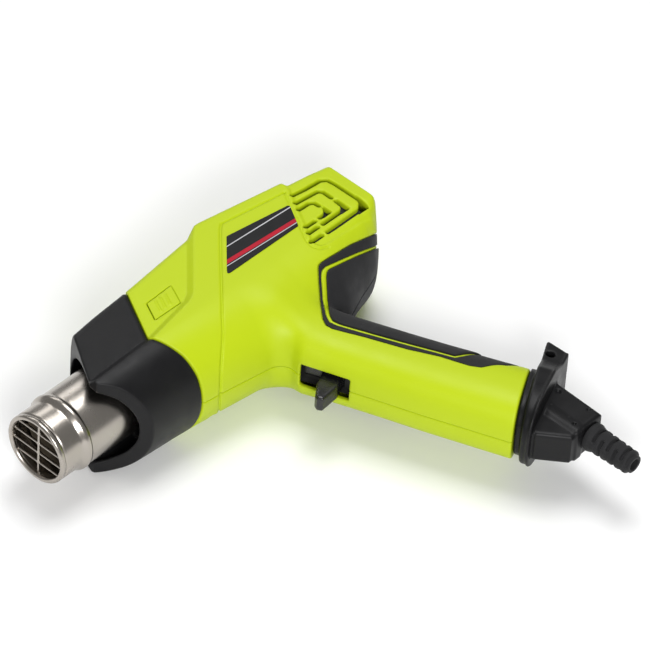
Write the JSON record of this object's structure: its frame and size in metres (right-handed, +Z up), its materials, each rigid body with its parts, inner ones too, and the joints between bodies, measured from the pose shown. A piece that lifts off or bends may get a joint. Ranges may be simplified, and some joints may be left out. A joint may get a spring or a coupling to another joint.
{
  "type": "heat gun",
  "caption": "Pistol-grip hot air gun on its side: steel nozzle with grille, pull-off guard, sliding switch, fan, heater, rear vents and foot",
  "frame": {"origin": "on the flat right side of the housing, straight under the barrel axis, where the gun lies on it", "axes": "X runs from the nozzle to the rear along the barrel, Y towards the top of the gun, Z up towards its left side"},
  "size_m": [0.216, 0.235, 0.062],
  "materials": {
    "housing": "lime green moulded plastic, fine satin texture",
    "grip": "black soft-grip rubber, matt",
    "label": "printed black film with a silver line and a crimson band",
    "black_plastic": "black glass-filled plastic, spark-eroded grain",
    "boot": "black flexible sleeve",
    "nozzle_steel": "satin drawn steel",
    "bright_steel": "plated steel",
    "heater_wire": "resistance wire, dull",
    "mica": "pressed mica board",
    "circuit_board": "green solder mask",
    "lead_insulation": "silicone wire insulation",
    "screw_steel": "zinc plated"
  },
  "bodies": {
    "housing": {"housing_left": "housing", "housing_right": "housing", "grip_left": "grip", "grip_right": "grip", "label_left": "label", "rating_label": "label", "housing_screw_1": "screw_steel", "housing_screw_2": "screw_steel", "housing_screw_3": "screw_steel", "housing_screw_4": "screw_steel", "housing_screw_5": "screw_steel", "housing_screw_6": "screw_steel", "housing_screw_7": "screw_steel", "nozzle_tube": "nozzle_steel", "nozzle_grille": "nozzle_steel", "heater_sleeve": "mica", "heater_core": "mica", "heater_coil": "heater_wire", "thermal_cutout": "bright_steel", "motor": "bright_steel", "motor_mount": "black_plastic", "air_duct": "black_plastic", "intake_screen_left": "black_plastic", "intake_screen_right": "black_plastic", "switch_body": "black_plastic", "circuit_board": "circuit_board", "rectifier": "black_plastic", "motor_lead": "lead_insulation", "supply_lead": "lead_insulation", "base_cap": "black_plastic", "cord_clamp": "black_plastic", "cord_boot": "boot"},
    "guard": {"nozzle_guard": "black_plastic"},
    "switch": {"switch_slider": "black_plastic"},
    "fan": {"fan_wheel": "black_plastic", "motor_shaft": "bright_steel"},
    "tab_left": {"release_tab_left": "housing"},
    "tab_right": {"release_tab_right": "housing"}
  },
  "joints": [
    {"name": "switch_slide", "type": "slide", "parent": "housing", "child": "switch", "axis": [-0.3827, 0.9239, 0], "range_m": [0, 0.0094]},
    {"name": "guard_pull", "type": "slide", "parent": "housing", "child": "guard", "axis": [-1, 0, 0], "range_m": [0, 0.09]},
    {"name": "fan_spin", "type": "hinge", "parent": "housing", "child": "fan", "pos_m": [0.06, 0, 0.031], "axis": [1, 0, 0], "continuous": true},
    {"name": "release_tab_left_press", "type": "hinge", "parent": "housing", "child": "tab_left", "pos_m": [-0.025, 0, 0.0595], "axis": [0, -1, 0], "range_deg": [0, 2.5], "stiffness_Nm_per_rad": 2},
    {"name": "release_tab_right_press", "type": "hinge", "parent": "housing", "child": "tab_right", "pos_m": [-0.025, 0, 0.0025], "axis": [0, 1, 0], "range_deg": [0, 2.5], "stiffness_Nm_per_rad": 2}
  ]
}
